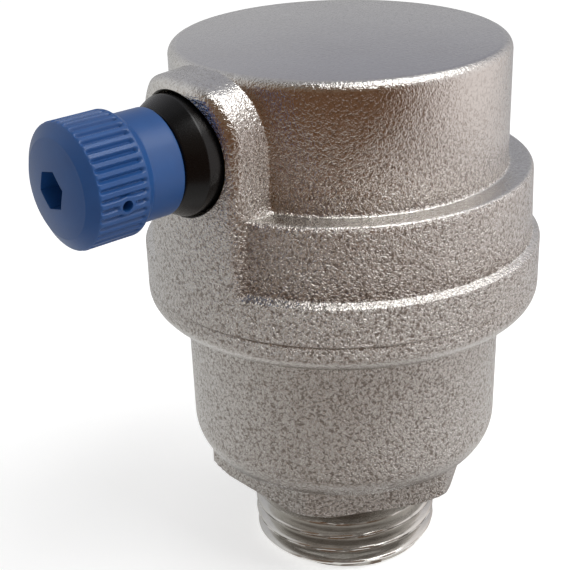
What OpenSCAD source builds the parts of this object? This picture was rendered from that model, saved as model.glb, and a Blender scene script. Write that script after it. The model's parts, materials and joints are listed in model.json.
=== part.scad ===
// Automatic air release valve for a 1/2 inch heating pipe, with a side vent.
// The origin is the centre of the open end of the inlet thread.
// +Z points up along the valve axis, and the vent outlet points along -Y.

/* [Inlet] */
// Outside diameter of the pipe thread
thread_d = 20.955; // [20.4:0.005:21.4]
// Length of the threaded spigot
thread_len = 8.5; // [7:0.1:12]
// Distance between two crests of the thread
thread_pitch = 1.814; // [1.6:0.001:2]
// Depth of the thread
thread_depth = 1.16; // [0.8:0.01:1.2]
// Width of a crest, and of a root
crest_w = 0.25; // [0.2:0.01:0.3]
// Height of the lead-in at the open end of the thread
lead_in_h = 0.95; // [0.4:0.05:1.5]
// Width of that lead-in, measured on the radius
lead_in_w = 0.5; // [0.2:0.05:0.8]
// Diameter of the relief groove between thread and hexagon
relief_d = 18.6; // [17.6:0.1:19.6]
// Height of the relief groove
relief_h = 1.55; // [0.8:0.05:2.5]
// Diameter of the water way through the thread
inlet_d = 14.8; // [10:0.1:15.6]

/* [Lower body] */
// Wrench size of the hexagon, across its flats
hex_af = 27; // [25:0.5:28]
// Height of the hexagon
hex_h = 3.95; // [3:0.05:6]
// Turn of the hexagon about the valve axis, degrees
hex_turn = 2; // [-15:1:15]
// Height of the corner bevel under the hexagon
hex_bevel = 0.7; // [0.2:0.1:1.2]
// Diameter of the cup where it meets the flange
cup_d = 34.26; // [33.4:0.02:36]
// Draft of the cup wall, in degrees
cup_draft = 0.6; // [0:0.1:1.5]
// Diameter of the circle that the cup leaves above the hexagon
cup_base_d = 32; // [30:0.1:32.6]
// Height of the rounding at the foot of the cup
cup_round_h = 2.8; // [2:0.1:5]
// Height of the cup between hexagon and flange
cup_h = 16.85; // [14:0.05:22]
// Thickness of the cup floor
floor_t = 2; // [1.5:0.1:3]
// Diameter of the float chamber
chamber_d = 30; // [29.6:0.1:30.4]
// Rounding inside the foot of the chamber
chamber_round = 2.5; // [1:0.1:3]

/* [Flange joint] */
// Diameter of the flange that body and cover share
flange_d = 42.25; // [41.4:0.05:46]
// Thickness of the flange on the lower body
flange_h = 3.05; // [2.4:0.05:5]
// Rounding under the flange
flange_round = 1.95; // [0.5:0.05:2.2]
// Edge break on both sides of the joint line
edge_break = 0.2; // [0.1:0.05:0.4]
// Diameter of the screwed neck of the lower body
neck_d = 34; // [33.4:0.1:34.6]
// Length of that neck above the joint line
neck_len = 10; // [7:0.1:10.2]
// Clearance all round the neck inside the cover
neck_gap = 0.1; // [0.05:0.01:0.15]
// Clearance above the neck inside the cover
neck_relief = 0.3; // [0.2:0.05:0.5]
// Thickness of the O-ring under the cover
seal_t = 1.6; // [1.2:0.1:1.8]
// Clearance around an O-ring in its groove
seal_gap = 0.05; // [0.02:0.01:0.1]

/* [Cover] */
// Height of the flange on the cover
cover_flange_h = 4; // [3:0.05:6]
// Height of the sloped step above that flange
step_h = 0.55; // [0.3:0.05:1]
// Diameter of the middle tier at its ledge
mid_d = 40.24; // [39.6:0.02:41]
// Draft of the middle tier, in degrees
mid_draft = 1.2; // [0:0.1:2]
// Height of the middle tier
mid_h = 7.42; // [6:0.02:9]
// Rounding along the ledge
ledge_round = 0.75; // [0.3:0.05:1.2]
// Fillet where the crown stands on the ledge
ledge_fillet = 0.8; // [0.3:0.05:1.2]
// Diameter of the crown
crown_d = 35; // [34.8:0.05:36.4]
// Height of the crown
crown_h = 12.96; // [12.5:0.02:16]
// Rounding round the top
crown_round = 1.1; // [0.5:0.1:2]
// Diameter of the bore inside the crown
crown_bore_d = 30.4; // [30:0.1:30.8]
// Thickness of the roof
roof_t = 2.4; // [1.8:0.1:2.5]

/* [Vent boss] */
// Height of the vent axis below the top face
vent_drop = 7.56; // [7.4:0.02:7.8]
// Radius of the arched boss
boss_r = 7.55; // [7.4:0.05:8.2]
// Height of the centre of the arch above the vent axis
boss_rise = 1.05; // [0.6:0.05:1.2]
// Drop of the arch's flat top below the top face
boss_drop = 0.4; // [0.3:0.05:0.5]
// Rounding along the edge of the boss
boss_round = 1; // [0.6:0.1:1.4]
// Diameter of the machined recess in the boss
recess_d = 12.2; // [12:0.1:12.6]
// Depth of that recess below the face of the boss
recess_depth = 3.725; // [3.4:0.025:4]

/* [Nozzle] */
// Diameter of the threaded shank of the nozzle
shank_d = 7; // [6.6:0.1:7.2]
// Clearance of the shank in the cover, bracket and washer
shank_gap = 0.1; // [0.05:0.01:0.15]
// Clearance of a screwed or pressed piece
fit_gap = 0.02; // [0.01:0.01:0.04]
// Diameter of the shoulder that clamps the nozzle seal
shoulder_d = 11.2; // [10.8:0.1:11.6]
// Thickness of the shoulder
shoulder_t = 0.9; // [0.7:0.1:1.4]
// Thickness of the nozzle seal
nozzle_seal_t = 1.5; // [1.3:0.1:1.6]
// Diameter of the outer thread that carries the cap
spigot_d = 7.8; // [7.4:0.1:8]
// Diameter of the air way
air_d = 2; // [1.6:0.1:2.2]
// Length of the nose inside the valve
nose_len = 0.7; // [0.5:0.1:1]
// Diameter of the nose
nose_d = 3.6; // [3.4:0.1:4]
// Diameter of the jet that forms the seat
jet_d = 2.4; // [2.3:0.1:2.6]
// Length of the jet
jet_len = 3; // [2:0.1:4]
// Height of the jet's lip in front of the nose
jet_lip = 0.1; // [0.05:0.05:0.2]
// Diameter of the jet's orifice
orifice_d = 0.9; // [0.6:0.1:1.2]
// Wrench size of the nut, across its flats
nut_af = 9; // [8.8:0.1:9.2]
// Thickness of the nut
nut_t = 2.2; // [1.8:0.1:2.4]
// Length of thread that shows past the nut
thread_show = 0.2; // [0.1:0.1:0.4]
// Outside diameter of the lock washer
washer_d = 9.4; // [8.6:0.1:9.6]
// Thickness of the lock washer
washer_t = 0.5; // [0.4:0.1:0.6]

/* [Collar and cap] */
// Diameter of the black collar ring
collar_d = 11.8; // [11.4:0.1:11.9]
// Length of the collar ring
collar_len = 3.8; // [3.4:0.1:4.2]
// Length of its rounded nose
collar_nose = 2; // [1.2:0.1:2.4]
// Fall of the radius along that nose
collar_fall = 1; // [0.6:0.1:1.2]
// Gap between the collar ring and the closed cap
collar_gap = 0.2; // [0.1:0.05:0.4]
// Diameter of the neck of the cap
cap_neck_d = 10.4; // [10:0.1:11]
// Length of the neck of the cap
cap_neck_len = 3.7; // [3:0.1:5]
// Diameter of the head of the cap
cap_d = 11.95; // [11.6:0.05:13]
// Length of the head of the cap
cap_head_len = 7.3; // [7:0.1:9]
// Length of the taper from the neck to the head
head_taper = 0.7; // [0.4:0.1:1.2]
// Number of grip grooves
groove_count = 40; // [24:1:44]
// Radius of a grip groove
groove_r = 0.33; // [0.25:0.01:0.4]
// Distance of the groove ends from the face of the cap
groove_end = 1.4; // [1.2:0.1:2]
// Diameter of the crowned face of the cap
cap_face_d = 9.3; // [8.6:0.1:9.8]
// Diameter of the flat round the key socket
cap_flat_d = 5.2; // [4.8:0.1:6]
// Height of the crown on that face
cap_crown = 0.6; // [0.3:0.05:0.8]
// Height of the slope round the face
cap_slope = 0.8; // [0.5:0.1:1.2]
// Rounding of the edges of that slope
slope_round = 0.4; // [0.2:0.1:0.6]
// Size of the hexagon key socket, across its flats
socket_af = 3.4; // [3:0.1:4]
// Depth of the key socket
socket_depth = 2.1; // [1.6:0.1:2.2]
// Turn of the key socket, in degrees
socket_turn = 13; // [0:1:59]
// Wall between the key socket and the inside of the cap
cap_web = 0.7; // [0.5:0.1:1]
// Diameter of the relief inside the head
cap_relief_d = 8.8; // [8.6:0.1:9.4]
// Length of that relief
cap_relief_len = 2.5; // [2.2:0.1:3]
// Diameter of the bleed hole in the head
bleed_d = 1.1; // [0.8:0.1:1.4]
// Turn of the bleed hole round the head, degrees from the top
bleed_turn = 99.5; // [60:0.5:120]
// Distance of the bleed hole from the face of the cap
bleed_from_face = 4.15; // [3.8:0.05:4.3]
// Clearance of the cap round the nozzle thread
cap_gap = 0.1; // [0.05:0.01:0.15]
// Diameter of the sealing disc inside the cap
disc_d = 8.2; // [7.8:0.1:8.4]
// Thickness of the sealing disc
disc_t = 0.8; // [0.6:0.1:1]
// Clearance on both faces of the sealing disc
disc_gap = 0.05; // [0.02:0.01:0.08]

/* [Lever] */
// Depth of the pivot below the vent axis
pivot_drop = 4.2; // [4:0.05:4.4]
// Angle that the lever swings, in degrees
swing = 16; // [12:1:18]
// Diameter of the pivot pin
pin_d = 1.5; // [1.3:0.1:1.6]
// Clearance of the pin in the lever
pin_gap = 0.03; // [0.01:0.01:0.05]
// Outside diameter of the lever's hub
hub_d = 3.2; // [2.8:0.1:3.3]
// Length of the hub along the pin
hub_len = 6; // [5.8:0.1:6.2]
// Thickness of the upright that carries the pad
upright_t = 0.8; // [0.6:0.1:1]
// Width of the upright
upright_w = 4.6; // [4.4:0.1:5]
// Diameter of the rubber pad
pad_d = 4; // [3.4:0.1:4.2]
// Thickness of the rubber pad
pad_t = 1; // [0.8:0.1:1.2]
// Diameter of the stem that holds the pad
stem_d = 1.4; // [1.2:0.1:1.8]
// Diameter of the head that locks the stem
stem_head_d = 2.2; // [2:0.1:2.6]
// Gap left between pad and jet when the valve is closed
seat_gap = 0.06; // [0.04:0.01:0.1]
// Distance between the two arms
arm_gap = 3; // [2.8:0.1:3.2]
// Width of one arm
arm_w = 1.4; // [1.2:0.1:1.5]
// Thickness of an arm
arm_t = 1.2; // [1:0.1:1.4]
// Length of the arms past the valve axis
arm_past = 1.8; // [1.4:0.1:2.4]
// Distance between the ears of the bracket
ear_span = 10.8; // [10.6:0.1:11]
// Thickness of the bracket plate and its ears
bracket_t = 0.7; // [0.5:0.1:0.8]
// Radius of the round end of an ear
ear_r = 1.8; // [1.5:0.1:2]
// Height of the bracket plate above the vent axis
plate_top = 4.3; // [4:0.1:4.5]
// Diameter of a pin clip
clip_d = 3; // [2.4:0.1:3.4]
// Thickness of a pin clip
clip_t = 0.5; // [0.3:0.1:0.7]
// Length of the pivot pin past its clips
pin_past = 0.5; // [0.3:0.1:0.8]
// Room between the bracket's corners and the bore of the crown
bracket_gap = 0.7; // [0.5:0.1:1]
// Thickness of the spring wire
wire_d = 0.35; // [0.3:0.05:0.4]
// Mean radius of the spring coil
coil_r = 1.25; // [1.2:0.05:1.3]
// Number of turns in the spring coil
coil_turns = 4; // [3:1:4]
// Distance between two turns of the coil
coil_pitch = 0.42; // [0.4:0.01:0.45]
// Distance from the pivot to the bend in the spring's leg
leg_bend = 2.4; // [2.3:0.1:2.8]
// Reach of the spring's leg along the arm
leg_reach = 4.2; // [3.6:0.1:5]

/* [Float] */
// Diameter of the float shell
float_d = 26.6; // [25:0.1:27]
// Clearance between the guide ribs and the chamber
rib_gap = 0.4; // [0.3:0.05:0.6]
// Number of guide ribs
rib_count = 6; // [3:1:8]
// Width of a guide rib
rib_w = 1.2; // [1:0.1:2]
// Wall of the float
float_wall = 1; // [0.8:0.1:1.2]
// Height of the float shell
float_h = 19; // [14:0.1:20]
// Gap under the float's feet when the valve is dry
rest_gap = 0.1; // [0.05:0.05:0.2]
// Height of the float's feet
foot_h = 0.9; // [0.5:0.1:1.2]
// Distance of the feet from the side of the float
foot_inset = 2.4; // [1.5:0.1:4]
// Thickness of the lid on the float
lid_t = 1; // [0.8:0.1:1.5]
// Depth of the lid's plug inside the shell
plug_h = 1.2; // [0.8:0.1:2]
// Width of the post on the lid, across the arms
post_w = 2.4; // [2:0.1:2.5]
// Depth of the post on the lid, along the arms
post_l = 2.6; // [2.4:0.1:3]
// Diameter of the cone that carries the post
post_foot_d = 7.8; // [6:0.1:10]
// Diameter of the hanger pin
hanger_d = 1.4; // [1.2:0.1:1.5]
// Gap between the hanger pin and the arms
hang_gap = 0.1; // [0.08:0.01:0.15]
// Length of the hanger pin past the arms
hanger_past = 0.4; // [0.2:0.1:0.8]

/* [Hidden] */

// Facets of a full circle, and steps along a rounded corner
$fn = 96;
corner_steps = 5;
// Overlap of cuts past the face that they open
cut = 1;
// Height of the boss face above its rounded edge
face_step = 0.06;

// Heights on the valve axis
hex_z = thread_len + relief_h;
cup_z = hex_z + hex_h;
floor_z = cup_z + floor_t;
flange_z = cup_z + cup_h;
seam_z = flange_z + flange_h;
neck_top = seam_z + neck_len;
socket_top = neck_top + neck_relief;
step_z = seam_z + cover_flange_h;
mid_z = step_z + step_h;
ledge_z = mid_z + mid_h;
top_z = ledge_z + crown_h;
roof_z = top_z - roof_t;
vent_z = top_z - vent_drop;
arch_z = vent_z + boss_rise;
boss_foot_z = step_z - 2 * edge_break;

// Radii round the valve axis
thread_r = thread_d / 2;
root_r = thread_r - thread_depth;
flank_h = thread_pitch / 2 - crest_w;
thread_turns = floor((thread_len - lead_in_h - crest_w) / thread_pitch);
thread_end = lead_in_h + crest_w + thread_turns * thread_pitch;
hex_corner_r = hex_af / 2 / cos(30);
cup_r = cup_d / 2;
cup_foot_r = cup_r - tan(cup_draft) * (cup_h - cup_round_h);
cup_base_r = cup_base_d / 2;
cup_arc_in = cup_foot_r - cup_base_r;
cup_arc_r = (pow(cup_arc_in, 2) + pow(cup_round_h, 2)) / (2 * cup_arc_in);
flange_r = flange_d / 2;
neck_r = neck_d / 2;
socket_r = neck_r + neck_gap;
seal_groove_r = socket_r + seal_t + 2 * seal_gap;
mid_foot_r = mid_d / 2 + tan(mid_draft) * mid_h;

// Distances from the valve axis along the vent
ear_out = ear_span / 2 + bracket_t;
flat_s = sqrt(pow(crown_bore_d / 2, 2) - pow(ear_out + bracket_gap, 2));
recess_s = flange_r - recess_depth;
vent_wall = recess_s - flat_s;
shoulder_s = recess_s + nozzle_seal_t + 2 * seal_gap;
collar_s = shoulder_s + shoulder_t;
collar_end_s = collar_s + collar_len;
cap_s = collar_end_s + collar_gap;
head_s = cap_s + cap_neck_len;
face_s = head_s + cap_head_len;
cap_floor_s = face_s - socket_depth - cap_web;
disc_s = cap_floor_s - disc_gap - disc_t;
spigot_end_s = disc_s - disc_gap;
washer_s = flat_s - bracket_t - washer_t;
nut_s = washer_s - nut_t;
shank_end_s = nut_s - thread_show;
nose_s = shank_end_s - nose_len;
seat_s = nose_s - jet_lip;
pivot_s = seat_s - seat_gap - pad_t - upright_t / 2;

// Lever and float
pivot_z = vent_z - pivot_drop;
half_swing = swing / 2;
stroke = 2 * pivot_s * tan(half_swing);
hang_rise = (arm_t / 2 + hanger_d / 2 + hang_gap) / cos(half_swing);
hanger_z = pivot_z + hang_rise - pivot_s * tan(half_swing);
hanger_len = arm_gap + 2 * (arm_w + hanger_past);
float_z = floor_z + rest_gap + foot_h;
lid_z = float_z + float_h;
rib_r = chamber_d / 2 - rib_gap;
rib_z = floor_z + chamber_round;
spring_hole_x = hub_len / 2 + wire_d + coil_turns * coil_pitch;

// Points of the corner at b with radius r, between the lines to a and to c
function unit(v) = v / norm(v);
function corner(a, b, c, r) =
  let (
    u = unit(a - b),
    w = unit(c - b),
    half = acos(u * w) / 2,
    centre = b + unit(u + w) * r / sin(half),
    p = b + u * r / tan(half) - centre,
    q = b + w * r / tan(half) - centre,
    start = atan2(p.y, p.x),
    sweep = (atan2(q.y, q.x) - start + 540) % 360 - 180
  )
  [for (i = [0:corner_steps]) centre + r * [for (f = [0, 90]) cos(start + sweep * i / corner_steps - f)]];

// Outline through [x, y, rounding] points
function flat(p) = [p.x, p.y];
function outline(path) =
  let (n = len(path))
  [for (i = [0:n - 1])
    each path[i].z == 0
      ? [flat(path[i])]
      : corner(flat(path[(i + n - 1) % n]), flat(path[i]), flat(path[(i + 1) % n]), path[i].z)];

// Arc about a centre, as outline points
function arc(centre, r, from, to) =
  [for (i = [0:corner_steps])
    let (a = from + (to - from) * i / corner_steps)
    [centre.x + r * cos(a), centre.y + r * sin(a), 0]];

// Solid turned from an outline of [radius, height, rounding] points
module turned(path) rotate_extrude() polygon(outline(path));

// Plain tube
module tube(outer_d, inner_d, length) {
  difference() {
    cylinder(d = outer_d, h = length);
    translate([0, 0, -cut]) cylinder(d = inner_d, h = length + 2 * cut);
  }
}

// Frame of the vent: local z runs outwards from the valve axis, local y points up
module along_vent(s = 0) translate([0, -s, vent_z]) rotate([90, 0, 0]) children();

// Frame of the pivot: local x runs along the pin, turned about it by an angle
module at_pivot(angle = 0) translate([0, -pivot_s, pivot_z]) rotate([angle, 0, 0]) children();

// Cylinder along x, centred
module bar(d, length) rotate([0, 90, 0]) cylinder(d = d, h = length, center = true);

// Outline points of one groove of the pipe thread, drawn as a ring
function thread_groove(i) =
  let (z = lead_in_h + crest_w + i * thread_pitch)
  [
    [thread_r, z, 0],
    [root_r, z + flank_h, 0],
    [root_r, z + flank_h + crest_w, 0],
    [thread_r, z + 2 * flank_h + crest_w, 0]
  ];

// Forged and turned lower body: thread, hexagon, cup, flange and screwed neck
module lower_body() color("silver") difference() {
  union() {
    turned(concat(
      [[0, 0, 0], [thread_r - lead_in_w, 0, 0], [thread_r, lead_in_h, 0]],
      [for (i = [0:thread_turns - 1]) each thread_groove(i)],
      [[thread_r, thread_end, 0], [relief_d / 2, thread_len, 0], [relief_d / 2, hex_z, 0], [0, hex_z, 0]]
    ));
    hexagon();
    turned(concat(
      [[0, cup_z, 0]],
      arc([cup_foot_r - cup_arc_r, cup_z + cup_round_h], cup_arc_r, -asin(cup_round_h / cup_arc_r), 0),
      [
        [cup_r, flange_z, ledge_fillet],
        [flange_r, flange_z, flange_round],
        [flange_r, seam_z - edge_break, 0],
        [flange_r - edge_break, seam_z, 0],
        [neck_r, seam_z, 0],
        [neck_r, neck_top - edge_break, 0],
        [neck_r - edge_break, neck_top, 0],
        [0, neck_top, 0]
      ]
    ));
  }
  translate([0, 0, -cut]) cylinder(d = inlet_d, h = floor_z + 2 * cut);
  turned([
    [0, floor_z, 0],
    [chamber_d / 2, floor_z, chamber_round],
    [chamber_d / 2, neck_top + cut, 0],
    [0, neck_top + cut, 0]
  ]);
}

// Wrench hexagon with bevelled lower corners
module hexagon() {
  bevel_w = hex_bevel / tan(30);
  intersection() {
    translate([0, 0, hex_z]) rotate(hex_turn) cylinder(r = hex_corner_r, h = hex_h, $fn = 6);
    turned([
      [0, hex_z, 0],
      [hex_corner_r - bevel_w, hex_z, 0],
      [hex_corner_r + bevel_w, hex_z + 2 * hex_bevel, 0],
      [hex_corner_r + bevel_w, cup_z, 0],
      [0, cup_z, 0]
    ]);
  }
}

// Forged cover: flange, middle tier, crown and the arched vent boss
module cover() color("silver") difference() {
  union() {
    turned([
      [0, seam_z, 0],
      [flange_r - edge_break, seam_z, 0],
      [flange_r, seam_z + edge_break, 0],
      [flange_r, step_z, edge_break],
      [mid_foot_r, mid_z, edge_break],
      [mid_d / 2, ledge_z, ledge_round],
      [crown_d / 2, ledge_z, ledge_fillet],
      [crown_d / 2, top_z, crown_round],
      [0, top_z, 0]
    ]);
    vent_boss();
  }
  translate([0, 0, seam_z - cut]) cylinder(r = socket_r, h = socket_top - seam_z + cut);
  translate([0, 0, seam_z - cut]) cylinder(r = seal_groove_r, h = seal_t + 2 * seal_gap + cut);
  difference() {
    translate([0, 0, socket_top - cut]) cylinder(d = crown_bore_d, h = roof_z - socket_top + cut);
    translate([-crown_d / 2, -flat_s - crown_d, socket_top]) cube([crown_d, crown_d, crown_h]);
  }
  along_vent(flat_s - cut) cylinder(d = shank_d + 2 * shank_gap, h = vent_wall + 2 * cut);
  along_vent(recess_s) cylinder(d = recess_d, h = flange_r);
}

// Arched pad whose face continues the flange, with a rounded edge
module vent_boss() intersection() {
  union() {
    intersection() {
      along_vent() linear_extrude(flange_r) arch(boss_r - boss_round - face_step);
      cylinder(r = flange_r, h = top_z);
    }
    boss_edge();
  }
  translate([0, 0, boss_foot_z]) cylinder(r = flange_r + boss_round, h = top_z - boss_drop - boss_foot_z);
}

// Inverted U, open downwards as far as the flange
module arch(r) {
  translate([0, boss_rise]) circle(r);
  translate([-r, boss_foot_z - vent_z]) square([2 * r, arch_z - boss_foot_z]);
}

// Loaf that rounds the edge of that U: rings from its face over the edge to its back
module boss_edge() {
  arch_steps = 17;
  edge_steps = 4;
  edge_r = boss_r - boss_round;
  foot_z = boss_foot_z - boss_round;
  sides = concat(
    [[-1, 0, foot_z]],
    [for (i = [0:arch_steps]) [-cos(180 * i / arch_steps), sin(180 * i / arch_steps), arch_z]],
    [[1, 0, foot_z]]
  );
  function depth(side) = sqrt(pow(flange_r - boss_round - face_step, 2) - pow(edge_r * side.x, 2));
  function point(side, r, s) = [r * side.x, -s, side.z + r * side.y];
  points = concat(
    [for (j = [0:edge_steps]) for (side = sides)
      let (a = 90 * j / edge_steps)
      point(side, edge_r + boss_round * sin(a), depth(side) + boss_round * cos(a))],
    [for (side = sides) point(side, boss_r, depth(side) - vent_wall)]
  );
  n = len(sides);
  last = edge_steps + 1;
  polyhedron(points, concat(
    [for (j = [0:last - 1]) for (i = [0:n - 2])
      let (a = j * n + i, b = a + n)
      each [[a, b + 1, a + 1], [a, b, b + 1]]],
    [for (i = [0:n / 2 - 2]) [i, i + 1, n - 2 - i, n - 1 - i]],
    [for (i = [0:n / 2 - 2]) [last * n + i, last * n + n - 1 - i, last * n + n - 2 - i, last * n + i + 1]],
    [concat([for (j = [0:last]) j * n + n - 1], [for (j = [last:-1:0]) j * n])]
  ));
}

// O-ring between lower body and cover
module cover_seal() color("dimgray")
  translate([0, 0, seam_z + seal_gap + seal_t / 2])
    rotate_extrude() translate([socket_r + seal_gap + seal_t / 2, 0]) circle(d = seal_t, $fn = 24);

// Turned nozzle through the boss: shank, shoulder and the thread for the cap
module vent_nozzle() color("gold") difference() {
  along_vent() turned([
    [0, nose_s, 0],
    [nose_d / 2, nose_s, 0],
    [nose_d / 2, shank_end_s, 0],
    [shank_d / 2, shank_end_s, 0],
    [shank_d / 2, shoulder_s, 0],
    [shoulder_d / 2, shoulder_s, 0],
    [shoulder_d / 2, collar_s, 0],
    [spigot_d / 2, collar_s, 0],
    [spigot_d / 2, spigot_end_s - lead_in_w, 0],
    [spigot_d / 2 - lead_in_w, spigot_end_s, 0],
    [0, spigot_end_s, 0]
  ]);
  along_vent(nose_s - cut) cylinder(d = air_d, h = spigot_end_s - nose_s + 2 * cut);
  along_vent(nose_s - cut) cylinder(d = jet_d + 2 * fit_gap, h = jet_len - jet_lip + cut);
}

// Pressed-in jet whose lip is the seat of the valve
module jet_seat() color("lightgray") along_vent(seat_s) tube(jet_d, orifice_d, jet_len);

// O-ring that seals the nozzle in the recess
module nozzle_seal() color("dimgray")
  along_vent(recess_s + seal_gap + nozzle_seal_t / 2)
    rotate_extrude() translate([shank_d / 2 + shank_gap + nozzle_seal_t / 2, 0])
      circle(d = nozzle_seal_t, $fn = 24);

// Stamped bracket: plate under the nut, and two ears for the pivot pin
module lever_bracket() color("gainsboro") difference() {
  plate_bottom = pivot_z - ear_r;
  union() {
    translate([-ear_out, -flat_s, plate_bottom])
      cube([2 * ear_out, bracket_t, vent_z + plate_top - plate_bottom]);
    for (side = [-1, 1])
      translate([side * (ear_span + bracket_t) / 2, 0, 0]) rotate([90, 0, 90])
        linear_extrude(bracket_t, center = true) {
          translate([-pivot_s, pivot_z]) circle(ear_r);
          translate([-flat_s, plate_bottom]) square([flat_s - pivot_s, 2 * ear_r]);
        }
  }
  along_vent() cylinder(d = shank_d + 2 * shank_gap, h = flat_s + cut);
  at_pivot() bar(pin_d + 2 * fit_gap, 2 * (ear_out + cut));
  translate([spring_hole_x, -flat_s - cut, pivot_z - coil_r]) rotate([-90, 0, 0])
    cylinder(d = wire_d + 2 * shank_gap, h = bracket_t + 2 * cut, $fn = 24);
}

// Lock washer under the nut
module lock_washer() color("lightgray")
  along_vent(washer_s) tube(washer_d, shank_d + 2 * shank_gap, washer_t);

// Nut that clamps nozzle and bracket to the boss
module nozzle_nut() color("gold") along_vent(nut_s) difference() {
  cylinder(d = nut_af / cos(30), h = nut_t, $fn = 6);
  translate([0, 0, -cut]) cylinder(d = shank_d + 2 * fit_gap, h = nut_t + 2 * cut);
}

// Pivot pin of the lever
module lever_pin() color("lightgray") at_pivot() bar(pin_d, 2 * (ear_out + clip_t + pin_past));

// Push-on clips at both ends of the pivot pin
module pin_clips() color("gray")
  for (side = [-1, 1]) at_pivot() translate([side * (ear_out + clip_t / 2), 0, 0]) difference() {
    bar(clip_d, clip_t);
    bar(pin_d + 2 * fit_gap, clip_t + 2 * cut);
  }

// Rubber ring between the boss and the cap
module collar_ring() color([0.05, 0.05, 0.05]) along_vent(collar_s) difference() {
  nose_r = (pow(collar_nose, 2) + pow(collar_fall, 2)) / (2 * collar_fall);
  turned(concat(
    [[0, 0, 0], [collar_d / 2, 0, 0]],
    arc([collar_d / 2 - nose_r, collar_len - collar_nose], nose_r, 0, asin(collar_nose / nose_r)),
    [[0, collar_len, 0]]
  ));
  translate([0, 0, -cut]) cylinder(d = spigot_d + 2 * fit_gap, h = collar_len + 2 * cut);
}

// Lever drawn with the valve closed, about its pivot: hub, upright and two arms
module lever_shape() difference() {
  union() {
    bar(hub_d, hub_len);
    translate([-upright_w / 2, -upright_t / 2, 0])
      cube([upright_w, upright_t, pivot_drop + upright_w / 2]);
    for (side = [-1, 1])
      rotate([half_swing, 0, 0])
        translate([side * (arm_gap + arm_w) / 2 - arm_w / 2, 0, -arm_t / 2])
          cube([arm_w, pivot_s / cos(half_swing) + arm_past, arm_t]);
  }
  bar(pin_d + 2 * pin_gap, hub_len + 2 * cut);
  translate([0, 0, pivot_drop]) rotate([90, 0, 0])
    cylinder(d = stem_d + 2 * fit_gap, h = upright_t + 2 * cut, center = true);
}

module valve_lever() color("whitesmoke") at_pivot(-swing) lever_shape();

// Rubber pad with a stem that snaps through the upright
module valve_pad() color("black") at_pivot(-swing) translate([0, 0, pivot_drop]) rotate([90, 0, 0]) {
  translate([0, 0, upright_t / 2]) cylinder(d = pad_d, h = pad_t);
  translate([0, 0, -upright_t / 2]) cylinder(d = stem_d, h = upright_t);
  translate([0, 0, -upright_t]) cylinder(d = stem_head_d, h = upright_t / 2);
}

// Torsion spring on the pin: one leg in the bracket plate, the other under an arm
module lever_spring() color("slategray") {
  steps = 16;
  coil_end_x = spring_hole_x - coil_turns * coil_pitch;
  turn = 360 - half_swing / coil_turns;
  foot = [spring_hole_x, -flat_s + bracket_t / 2, pivot_z - coil_r];
  coil = [for (i = [0:coil_turns * steps])
    let (a = turn * i / steps - 90)
    [spring_hole_x - coil_pitch * i / steps, -pivot_s + coil_r * cos(a), pivot_z + coil_r * sin(a)]];
  arm_side = (arm_gap + arm_w) / 2;
  under_arm = (arm_t + wire_d) / 2 + hang_gap;
  ends = [leg_point(coil_end_x, leg_bend, coil_r), leg_point(arm_side, leg_reach, under_arm)];
  radial = [for (i = [0:coil_turns * steps])
    let (a = turn * i / steps - 90)
    [0, cos(a), sin(a)]];
  wire(concat([foot], coil, ends), concat([radial[0]], radial, [for (p = ends) radial[len(radial) - 1]]));
}

// Point beside an arm at rest: distance along it from the pivot, and drop below its middle
function leg_point(x, reach, drop) = [
  x,
  -pivot_s + reach * cos(half_swing) - drop * sin(half_swing),
  pivot_z - reach * sin(half_swing) - drop * cos(half_swing)
];

// Six-sided wire through points, with a radial direction at each
module wire(points, radial) {
  sides = 6;
  rings = [for (i = [0:len(points) - 1]) for (k = [0:sides - 1])
    points[i] + wire_d / 2 * (cos(k * 360 / sides) * radial[i] + [sin(k * 360 / sides), 0, 0])];
  last = len(points) - 1;
  polyhedron(rings, concat(
    [[for (k = [sides - 1:-1:0]) k]],
    [for (i = [0:last - 1]) for (k = [0:sides - 1])
      [i * sides + k, i * sides + (k + 1) % sides, (i + 1) * sides + (k + 1) % sides, (i + 1) * sides + k]],
    [[for (k = [0:sides - 1]) last * sides + k]]
  ));
}

// Moulded float: a cup with guide ribs and feet
module float_shell() color("ivory") difference() {
  union() {
    translate([0, 0, float_z]) cylinder(d = float_d, h = float_h);
    for (i = [0:rib_count - 1]) rotate(i * 360 / rib_count) {
      translate([0, -rib_w / 2, rib_z]) cube([rib_r, rib_w, lid_z - rib_z]);
      translate([float_d / 2 - foot_inset, 0, float_z - foot_h])
        cylinder(d = rib_w, h = foot_h + float_wall / 2);
    }
  }
  translate([0, 0, float_z + float_wall]) cylinder(d = float_d - 2 * float_wall, h = float_h);
}

// Lid welded on the float, with the post that carries the hanger pin
module float_lid() color("ivory") difference() {
  post_top = hanger_z + hanger_d;
  union() {
    translate([0, 0, lid_z]) cylinder(d = float_d, h = lid_t);
    translate([0, 0, lid_z - plug_h])
      cylinder(d = float_d - 2 * (float_wall + fit_gap), h = plug_h);
    translate([0, 0, lid_z + lid_t]) cylinder(d1 = post_foot_d, d2 = post_w, h = post_l);
    translate([-post_w / 2, -post_l / 2, lid_z]) cube([post_w, post_l, post_top - lid_z]);
  }
  translate([0, 0, hanger_z]) bar(hanger_d + 2 * fit_gap, post_w + 2 * cut);
}

// Cross pin that hangs the float on the arms
module hanger_pin() color("lightgray") translate([0, 0, hanger_z]) bar(hanger_d, hanger_len);

// Loose sealing disc inside the cap
module cap_disc() color("black") along_vent(disc_s) cylinder(d = disc_d, h = disc_t);

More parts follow.
